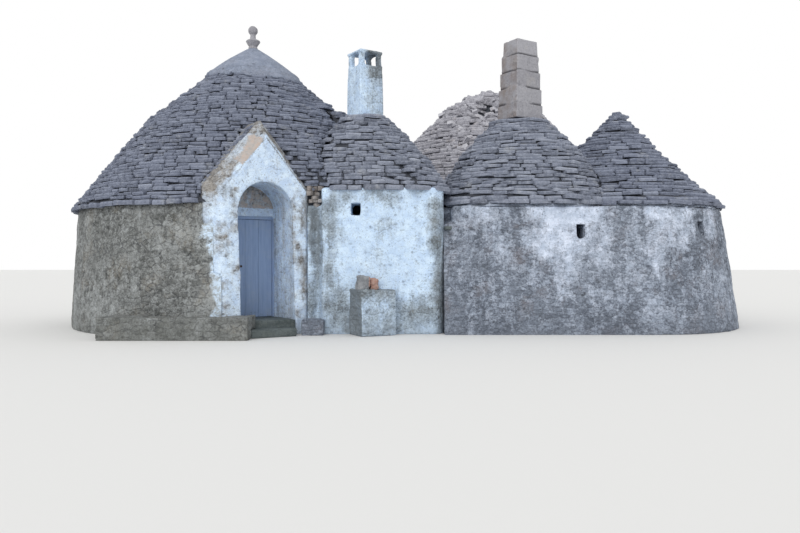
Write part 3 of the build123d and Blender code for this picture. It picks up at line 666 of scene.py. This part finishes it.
hearth_stones = Stones(12)
lay_round(hearth_stones, Roof(("hearth_cone",), HEARTH), 2.93, 4.63, heights=(0.074, 0.1),
          lengths=(0.17, 0.48))
hearth_stones.piece("hearth_cone_slabs", pale_slabs)

# The grey walls run up over the seat of their cones to the first slabs
GREY_EAVES = 2.68

kitchen_stones = Stones(13)
lay_round(kitchen_stones, Roof(("kitchen_cone",), KITCHEN), GREY_EAVES, 4.66, heights=(0.065, 0.095),
          lengths=(0.2, 0.7), eaves=2)
kitchen_stones.piece("kitchen_cone_slabs", pale_slabs)

end_stones = Stones(14)
lay_round(end_stones, Roof(("end_cone",), END), GREY_EAVES, 4.91, heights=(0.065, 0.09), lengths=(0.2, 0.7),
          eaves=2)
# Two small stones close the tip
for wide, top in ((0.3, 4.93), (0.2, 4.98)):
    turned = Vector((math.cos(top * 9), math.sin(top * 9), 0))
    end_stones.slab(END + UP * top, turned, wide, wide * 0.8, 0.06)
end_stones.piece("end_cone_slabs", slabs)

# The ruined cone has lost its crown, and one side has slipped into a hollow of loose stones
SLIP, SLIP_REACH = Vector((6.0, 1.05, 5.9)), 1.0


def ruin_gaps(spot):
    """The chance of a gap: certain in the slip, and more likely higher up."""
    return 1.0 if (spot - SLIP).length < SLIP_REACH else (spot.z - 4.9) * 0.25


def scatter(stones, roof, middle, reach, amount):
    """Loose stones on a roof, within reach of a middle."""
    rng = stones.rng
    for _ in range(amount):
        angle = rng.uniform(0, math.tau)
        away = reach * math.sqrt(rng.random())
        above = Vector((middle.x + away * math.cos(angle), middle.y + away * math.sin(angle), 8))
        spot = roof.tree.ray_cast(above, -UP, 5)[0]
        if spot is not None and roof.seen(spot, Vector()):
            wide = rng.uniform(0.12, 0.36)
            centre = spot + UP * rng.uniform(-0.13, -0.04)
            stones.rock(centre, (wide, wide * rng.uniform(0.45, 0.9), rng.uniform(0.04, 0.12)))


ruin_stones = Stones(15)
ruin_roof = Roof(("ruined_cone",), RUIN)
lay_round(ruin_stones, ruin_roof, SEAT, 6.15, heights=(0.07, 0.11), proud=0.05, miss=ruin_gaps)
scatter(ruin_stones, ruin_roof, RUIN, 1.5, 420)
scatter(ruin_stones, ruin_roof, SLIP, 1.25, 300)
ruin_stones.piece("ruined_cone_slabs", ruin_slabs)

BED_VOXEL, BED_SINK, BED_WASH = 0.13, 0.07, 0.6


def bed(name, centre):
    """A roof's core, sunk a little under the slabs that make its face, in a darker copy of the slab stone:
    painted shade where it shows between slabs.

    Over the grey walls it shows as wall up to its eaves.
    """
    mesh = remeshed((name,), BED_VOXEL)
    over_grey_wall = name in ("kitchen_cone", "end_cone")
    sunk_from = SEAT - 0.1 if over_grey_wall else SEAT + BED_VOXEL / 2
    for vertex in mesh.vertices:
        out = Vector((vertex.co.x - centre.x, vertex.co.y - centre.y, 0)).normalized()
        if vertex.normal.dot(out + UP) > 0.3 and vertex.co.z > sunk_from:
            vertex.co -= vertex.normal * BED_SINK
    piece = new_piece(name + "_bed", mesh, shaded_bed_stone)
    if over_grey_wall:
        paint_points(mesh, "wash", [BED_WASH for _ in mesh.vertices])
        mesh.materials.append(grey_rubble)
        for face in mesh.polygons:
            face.material_index = int(face.center.z < GREY_EAVES + 0.05)
    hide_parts(name)


for name, centre in (("main_cone", MAIN), ("ruined_cone", RUIN), ("hearth_cone", HEARTH),
                     ("kitchen_cone", KITCHEN), ("end_cone", END), ("saddle", MAIN)):
    bed(name, centre)


# Rough skins that stand for walls and plastered parts. A relief gives a point's offset and tone.
def lumpy(layers, tone_scale, tone=0.5, out=0.0):
    """A relief of noise, in layers of an amount and a scale, about a level a little out from the solid."""
    def relief(point):
        offset = out
        for amount, scale in layers:
            offset += amount * noise.noise(point * scale)
        return offset, tone + 0.5 * noise.noise(point * tone_scale)
    return relief


wall_relief = lumpy(((0.016, 1.9), (0.012, 6), (0.006, 13)), 5)
plaster_relief = lumpy(((0.012, 2.1), (0.006, 9)), 5)
stone_relief = lumpy(((0.006, 6), (0.004, 19)), 3)
rough_relief = lumpy(((0.03, 3.1), (0.02, 8), (0.01, 17)), 4, tone=0.45)
broken_relief = lumpy(((0.03, 9), (0.014, 23)), 6, tone=0.45, out=0.012)


def worn_relief(point):
    """A stone worn round, with chips gone."""
    chip = smooth(noise.noise(point * 5.5), 0.3, 0.6)
    return 0.012 * noise.noise(point * 4) - 0.022 * chip, 0.45 + 0.5 * noise.noise(point * 3)


SHARP_FROM = math.radians(48)


def skin(name, members, voxel, surface, relief, marks, soften=2, holes=()):
    """CAD nodes joined, remeshed and roughened; marks gives wash, damp and painted shade, and bare at a
    point.
    """
    rough = remeshed(members, voxel, soften, holes)
    layers = {"tone": [], "wash": [], "damp_and_shade": [], "bare": []}
    moved = []
    for vertex in rough.vertices:
        point, normal = vertex.co.copy(), vertex.normal.copy()
        wash, damp_and_shade, bare = marks(point, normal)
        offset, tone = relief(point)
        offset *= 1 - 0.5 * smooth(wash, 0.5, 1.0)
        if point.z > voxel:
            point += normal * offset
        moved.append(point)
        for values, value in zip(layers.values(), (tone, wash, damp_and_shade, bare)):
            values.append(value)
    for vertex, point in zip(rough.vertices, moved):
        vertex.co = point
    for layer, values in layers.items():
        paint_points(rough, layer, values)
    rough.shade_smooth()
    rough.set_sharp_from_angle(angle=SHARP_FROM)
    piece = new_piece(name, rough, surface)
    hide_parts(*members)
    return piece


# Radius within which a wall's face is a room's
MAIN_ROOM, REAR_ROOM = 2.6, 2.3

# Patches on the fronts, as patches() takes them
GREY_WASH = ((6.95, 2.5, 1.1, 0.6, 1.12), (6.8, 2.0, 0.95, 0.9, 0.88), (6.9, 1.35, 0.6, 0.9, 0.55),
             (7.6, 2.0, 0.5, 1.1, 0.56), (9.1, 2.55, 1.0, 0.5, 0.76), (9.2, 2.1, 0.8, 0.7, 0.58),
             (8.75, 1.7, 0.4, 1.0, 0.56), (10.1, 2.3, 0.45, 0.8, 0.55), (5.35, 2.55, 0.8, 0.5, 0.56),
             (5.6, 1.95, 0.5, 0.85, 0.47), (7.65, 0.78, 0.9, 0.12, 0.46))
GREY_DAMP = ((4.95, 1.5, 0.45, 0.7, 0.26), (8.1, 2.05, 0.25, 0.6, 0.22), (9.7, 1.2, 0.8, 1.0, 0.1),
             (6.05, 2.2, 0.22, 0.6, 0.14), (7.4, 1.5, 0.4, 0.4, 0.12))


def grey_marks(point, normal):
    front = smooth(-normal.y, 0.0, 0.4)
    inside = 0.85 if normal.z < 0.5 and (point - RUIN).to_2d().length < REAR_ROOM else 0.0
    clouds = 0.32 + 0.12 * noise.noise(point * 0.8)
    return max(front * patches(point, GREY_WASH), clouds, inside), front * patches(point, GREY_DAMP), 0.0


def left_marks(point, normal):
    mortar = 0.3 + 0.3 * noise.noise(point * 0.9) + 0.14 * (1 - smooth(point.z, 0.4, 1.6))
    by_porch = point.y < -1.5 and point.x < 1.5
    ragged = 0.25 * noise.noise(point * 2.3) + 0.1 * noise.noise(point * 7)
    beside = smooth(porch_x(point) + ragged, -1.25, -0.95) if by_porch else 0.0
    inside = 0.9 if point.to_2d().length < MAIN_ROOM else 0.0
    return max(mortar + 0.4 * beside, inside), 0.08 * noise.noise(point * 1.3), 0.85 * beside


WHITE_DAMP = ((1.82, 1.9, 0.2, 0.9, 0.6), (1.75, 2.5, 0.3, 0.25, 0.5), (2.15, 2.2, 0.3, 0.8, 0.34),
              (3.15, 2.7, 0.5, 0.2, 0.24), (3.27, 2.28, 0.2, 0.2, 0.1), (4.3, 2.5, 0.3, 0.6, 0.2),
              (4.38, 1.3, 0.2, 1.6, 0.3), (2.15, 0.9, 0.3, 0.9, 0.28), (3.8, 0.45, 0.6, 0.35, 0.28),
              (1.75, 0.7, 0.25, 0.7, 0.36), (3.0, 0.3, 1.2, 0.25, 0.24))
WHITE_LOST = ((1.8, 2.3, 0.3, 0.5, 0.8), (1.85, 1.5, 0.2, 0.8, 0.6), (1.8, 0.7, 0.25, 0.6, 0.5),
              (2.2, 2.3, 0.35, 0.7, 0.55), (2.2, 1.4, 0.25, 0.6, 0.4), (4.25, 2.4, 0.35, 0.6, 0.55),
              (4.38, 1.2, 0.3, 1.6, 0.62), (3.15, 2.72, 0.6, 0.2, 0.42), (3.27, 2.2, 0.25, 0.25, 0.3),
              (3.8, 0.45, 0.7, 0.4, 0.55), (2.35, 0.6, 0.5, 0.5, 0.5), (3.0, 0.2, 1.3, 0.3, 0.5),
              (2.45, 2.75, 0.3, 0.15, 0.5))


def white_marks(point, normal):
    return 1.0 - patches(point, WHITE_LOST), patches(point, WHITE_DAMP), 0.0


# The porch gable's edges in its own plane, as the model has them
GABLE_FOOT, GABLE_TIP, GABLE_MIDDLE, GABLE_HALF = 2.9, 3.9, 0.05, 0.86
PORCH_DAMP = ((0.95, 2.4, 0.2, 0.5, 0.5), (1.0, 1.2, 0.2, 1.0, 0.35), (-1.0, 3.05, 0.3, 0.3, 0.12),
              (0.55, 3.75, 0.3, 0.35, 0.26), (-0.8, 0.5, 0.3, 0.3, 0.2))


def beyond_gable(x, z, side):
    """How far a point is outside the gable's edge on a side, in the facade's plane."""
    run = Vector((side * GABLE_HALF, GABLE_FOOT - GABLE_TIP))
    out = Vector((-run.y * side, run.x * side)).normalized()
    return (Vector((x, z)) - Vector((GABLE_MIDDLE, GABLE_TIP))).dot(out)


def facade_marks(point, x, z):
    """The porch's front: worn edges, a bare band along the gable's left slope, painted shadow lines along the
    steps at both.
    """
    ragged = 0.14 * noise.noise(point * 3.1) + 0.08 * noise.noise(point * 9)
    out_left, out_right = beyond_gable(x, z, -1), beyond_gable(x, z, 1)
    in_gable = z > GABLE_FOOT
    high_right = out_right if in_gable else 0.0
    band_lost = 0.8 - 0.25 * smooth(z, 3.2, 3.7) if z > 2.8 else 0.0
    on_band = smooth(out_left + 0.4 * ragged, 0.0, 0.08) * band_lost
    left = max(smooth(ragged - x, 0.9, 1.15) * 0.55, on_band)
    crumbled = smooth(-x, 0.55, 0.95) * (1 - smooth(abs(z - 3.0), 0.2, 0.6)) * 0.5 if x < 0 else 0.0
    right = max(smooth(x + ragged, 0.85, 1.05) * smooth(z + ragged, 1.2, 2.7) * 0.75,
                0.75 * smooth(high_right + 0.4 * ragged, -0.02, 0.05))
    spread = 0.04 + 0.1 * smooth(z, 3.3, 3.8) + 0.5 * ragged
    peach = smooth(out_left, 0.0, 0.02) * (1 - smooth(out_left, spread, spread + 0.2)) * smooth(z, 3.2, 3.45)
    peach *= 0.75 * smooth(0.1 - x, 0, 0.15) * (1 - smooth(z + 0.6 * x, 3.75, 4.0))
    # Painted shadow lines under the steps along the gable's slopes: darker on the right, fainter on the left
    right_step_shadow = 1 - smooth(abs(out_right), 0.008, 0.03) if in_gable and x > GABLE_MIDDLE else 0.0
    edge = 0.6 * (1 - smooth(abs(out_left), 0.004, 0.02)) if in_gable and x < GABLE_MIDDLE else 0.0
    damp_and_shade = max(patches(Vector((x, 0, z)), PORCH_DAMP), right_step_shadow * 0.75, edge * 0.5)
    return 1.0 - max(left, crumbled, right), damp_and_shade, peach


def porch_marks(point, normal):
    x, y, z = porch_x(point), porch_y(point), point.z
    over_door = y > 0.93 and z > 2.57 and abs(x) < 0.62
    in_niche = y > 0.06 and z < 3.06 and abs(x) < 0.72
    under_slabs = y > 0.33 and z > 2.6
    if over_door:
        high_left = smooth(z - 0.6 * x, 2.75, 3.1)
        return 0.5 - 0.35 * high_left, 0.4 * high_left - 0.15, 0.55 - 0.4 * high_left
    if in_niche:
        low_down = 0.2 * smooth(y, 0.6, 0.95) * (1 - smooth(z, 1.6, 2.4))
        on_lintel = 0.6 if y > 0.9 and z > 2.38 else 0.0
        return 0.8 + on_lintel, low_down - 0.08 - on_lintel, 0.25 - on_lintel
    if under_slabs:
        return 0.2, 0.1, 0.0
    return facade_marks(point, x, z)


def porch_relief(point):
    """Plaster with a groove along each of the gable's slopes, and even at the back of the niche."""
    x, y, z = porch_x(point), porch_y(point), point.z
    offset, tone = plaster_relief(point)
    if y < 0.3 and z > GABLE_FOOT:
        if x > GABLE_MIDDLE:
            offset -= 0.07 * (1 - smooth(abs(beyond_gable(x, z, 1)), 0.006, 0.035))
        else:
            offset -= 0.03 * (1 - smooth(abs(beyond_gable(x, z, -1)), 0.004, 0.03))
    if y > 0.9:
        offset = min(offset, 0.0) * 0.3
    return offset, tone


def even(wash, damp_and_shade):
    """The same marks at every point."""
    return lambda point, normal: (wash, damp_and_shade, 0.0)


def chimney_marks(point, normal):
    right = smooth(point.x, 2.75, 2.95)
    grey = 0.4 * right * smooth(point.z, 5.2, 5.65) + 0.25 * right
    return 0.92 - grey, 0.2 * right + 0.2 * smooth(point.z, 5.6, 5.75), 0.0


def block_marks(point, normal):
    side = smooth(-normal.x, 0.3, 0.8)
    patchy = 0.25 * noise.noise(point * 3.3)
    return 0.66 + patchy - 0.4 * smooth(point.z, 0.6, 0.9) - 0.3 * side, 0.2 + 0.32 * side + patchy, 0.0


CHIMNEY_JOINTS = (4.99, 5.35, 5.72, 6.08)


def joint_depth(point):
    """How deep in a joint between two ashlar courses a point is, from 0 to 1."""
    nearest = min(abs(point.z - level + 0.008 * noise.noise(point * 5)) for level in CHIMNEY_JOINTS)
    return (1 - smooth(nearest, 0.008, 0.026)) * smooth(noise.noise(point * 2.3), -0.5, 0.0)


def ashlar_relief(point):
    """Worn stone whose courses are a little out of line, each with a tone of its own."""
    worn, _ = worn_relief(point)
    course = sum(point.z > level for level in CHIMNEY_JOINTS)
    shift = 0.012 * noise.noise(Vector((course * 3.7, point.x, point.y)))
    tone = 0.5 + 0.4 * noise.noise(Vector((course * 5.1, 0.3, 0.7)))
    return worn + shift - 0.03 * joint_depth(point), tone


def ashlar_marks(point, normal):
    return 0.0, 0.85 * joint_depth(point), 0.6 * smooth(-normal.x, 0.2, 0.7)


# Holes to cut, as cut_through() takes them
FRONT_WINDOW = (Vector((7.24, -2.62, 2.07)), AWAY, 0.19, 0.3, 1.0)
BLOCKED_WINDOW = (drawn_in(Vector((9.98, -2.54, 2.155))), Vector((-0.473, 0.881, 0)), 0.16, 0.275, 0.13)
HEARTH_VENT = (Vector((2.67, -3.15, 2.51)), AWAY, 0.19, 0.24, 0.5)

bare_marks = even(0.1, 0.0)
bench_marks = even(0.3, 0.26)

skin("grey_walls", ("grey_front_wall_left", "grey_front_wall_right", "grey_side_wall", "grey_rear_wall"),
     0.05, grey_rubble, wall_relief, grey_marks, holes=(FRONT_WINDOW, BLOCKED_WINDOW))
skin("left_walls", ("left_front_wall", "left_rear_wall", "main_rear_wall"), 0.056, left_rubble, wall_relief,
     left_marks)
skin("rear_walls", ("rear_wall_left", "rear_wall_middle", "rear_wall_right"), 0.07, grey_rubble, wall_relief,
     grey_marks)
skin("white_block", ("white_wall", "alcove_wall", "doorway_wall"), 0.036, plaster, plaster_relief,
     white_marks, holes=(HEARTH_VENT,))
skin("porch_front", ("porch_gable", "porch_left_jamb", "porch_right_jamb", "porch_vault", "lintel"), 0.027,
     porch_plaster, porch_relief, porch_marks, soften=1)
skin("cap", ("main_cap",), 0.03, cap_plaster, plaster_relief, even(0.85, 0.1))
skin("ball_finial", ("finial",), 0.012, ashlar, stone_relief, bare_marks)
skin("hearth_chimney", ("white_chimney", "lantern_slab"), 0.022, plaster, plaster_relief, chimney_marks)
skin("kitchen_chimney", ("stone_chimney",), 0.024, ashlar, ashlar_relief, ashlar_marks)
skin("long_bench", ("bench",), 0.022, left_rubble, wall_relief, bench_marks, soften=4)
skin("mounting_steps", ("mounting_block",), 0.02, plaster, rough_relief, block_marks, soften=8)
loose = skin("loose_stones", ("block_rubble",), 0.01, dressed, broken_relief, bare_marks, soften=30)
skin("kerb", ("kerb_stone",), 0.018, grey_rubble, worn_relief, bench_marks, soften=4)
skin("spout", ("spout_stone",), 0.012, sill_stone, stone_relief, bare_marks)
skin("sill", ("threshold", "step"), 0.025, sill_stone, worn_relief, bare_marks)

# The smaller of the two loose stones is a broken brick
BRICK_FROM = 2.95
loose.data.materials.append(brick)
for face in loose.data.polygons:
    if face.center.x > BRICK_FROM:
        face.material_index = 1


def cap_skirt():
    """Mortar of the cap, run down over the topmost slabs to a ragged edge."""
    roof = Roof(("main_cone", "main_cap"), MAIN)
    columns, rows = 120, 6
    top, foot, usual_radius = 5.945, 5.80, 1.05
    inner_lip, edge_lip = 0.055, 0.015
    points, faces = [], []
    for column in range(columns):
        angle = math.tau * column / columns
        out = Vector((math.cos(angle), math.sin(angle), 0))
        low = foot - 0.08 * math.cos(angle) + 0.12 * min(0.0, math.sin(angle))
        low += 0.07 * noise.noise(Vector((3 * math.cos(angle), 3 * math.sin(angle), 0)) * 2.5)
        for row in range(rows):
            level = top + (low - top) * row / (rows - 1)
            spot = roof.round_about(angle, level)
            away = spot.to_2d().length if spot else usual_radius
            ragged = 0.012 * noise.noise(Vector((out.x * 6, out.y * 6, level * 5)))
            lip = inner_lip if 0 < row < rows - 1 else edge_lip
            points.append(Vector((0, 0, level)) + out * (away + lip + ragged))
    for column in range(columns):
        nearby = (column + 1) % columns
        for row in range(rows - 1):
            a, b = column * rows + row, nearby * rows + row
            faces.append((a, a + 1, b + 1, b))
    mesh = bpy.data.meshes.new("cap_skirt")
    mesh.from_pydata(points, [], faces)
    mesh.shade_smooth()
    for layer, value in (("tone", 0.5), ("wash", 0.7), ("damp_and_shade", 0.12), ("bare", 0.0)):
        paint_points(mesh, layer, [value] * len(points))
    skirt = new_piece("cap_skirt", mesh, cap_plaster)
    thick = skirt.modifiers.new("thickness", "SOLIDIFY")
    thick.thickness = 0.03
    thick.offset = -1


def lock_hole():
    """Worn iron plate round the lock's hole, on the leaf's front face."""
    middle = PORCH + RIGHT * -0.102 + INWARD * 1.0285 + UP * 1.361
    plate = bmesh.new()
    spin = Matrix((RIGHT, UP, -INWARD)).transposed().to_4x4()
    discs = ((0.026, 0.004, 0.0), (0.011, 0.009, 0.003))
    for radius, depth, out in discs:
        place = Matrix.Translation(middle - INWARD * out) @ spin
        bmesh.ops.create_cone(plate, cap_ends=True, segments=20, radius1=radius, radius2=radius * 0.85,
                              depth=depth, matrix=place)
    mesh = bpy.data.meshes.new("lock_hole")
    plate.to_mesh(mesh)
    plate.free()
    new_piece("lock_hole", mesh, iron, "door")


cap_skirt()
lock_hole()

# CAD nodes that stay as they are, each with its own surface
SURFACES = {
    plaster: ("middle_wall", "cross_wall", "kitchen_wall", "inner_lintel"),
    dressed: ("stone_floor",),
    paint: ("door_planks", "door_ledges", "door_frame"),
    iron: ("door_straps", "door_pintles"),
}
for surface, names in SURFACES.items():
    for name in names:
        nodes[name].data.materials.clear()
        nodes[name].data.materials.append(surface)


# Stage and light
FLOOR_COLOUR = (0.74, 0.74, 0.73)
FLOOR_REACH, FLOOR_LEVEL = 120, -0.002
AROUND_STRENGTH, WHITE_STRENGTH = 0.92, 1.0
LAMP_STRENGTH, LAMP_SPREAD = 1.1, math.radians(35)
LAMP_TURN = (math.radians(60), 0, math.radians(-14))


def stage_floor():
    made, tree, shader = material("floor", 0.95)
    shader.inputs["Base Color"].default_value = (*FLOOR_COLOUR, 1)
    mesh = bpy.data.meshes.new("floor")
    corners = [(x * FLOOR_REACH, y * FLOOR_REACH, 0) for x, y in ((-1, -1), (1, -1), (1, 1), (-1, 1))]
    mesh.from_pydata(corners, [], [(0, 1, 2, 3)])
    mesh.materials.append(made)
    floor = bpy.data.objects.new("floor", mesh)
    floor.location.z = FLOOR_LEVEL
    bpy.context.scene.collection.objects.link(floor)


def studio_light():
    """An even grey-white surround that shows as white, and one wide soft lamp."""
    world = bpy.data.worlds.new("world")
    bpy.context.scene.world = world
    world.use_nodes = True
    tree = world.node_tree
    tree.nodes.clear()
    soft = node(tree, "ShaderNodeBackground", {"Color": (1, 1, 1, 1), "Strength": AROUND_STRENGTH})
    white = node(tree, "ShaderNodeBackground", {"Color": (1, 1, 1, 1), "Strength": WHITE_STRENGTH})
    path = node(tree, "ShaderNodeLightPath")
    seen = combine(tree, "ADD", path.outputs["Is Camera Ray"], path.outputs["Is Glossy Ray"])
    mix = node(tree, "ShaderNodeMixShader", {0: seen, 1: soft.outputs[0], 2: white.outputs[0]})
    out = node(tree, "ShaderNodeOutputWorld")
    tree.links.new(mix.outputs[0], out.inputs["Surface"])
    lamp = bpy.data.lights.new("key", "SUN")
    lamp.energy = LAMP_STRENGTH
    lamp.angle = LAMP_SPREAD
    key = bpy.data.objects.new("key", lamp)
    key.rotation_euler = LAMP_TURN
    bpy.context.scene.collection.objects.link(key)


stage_floor()
studio_light()
bpy.context.scene.view_settings.view_transform = "Standard"
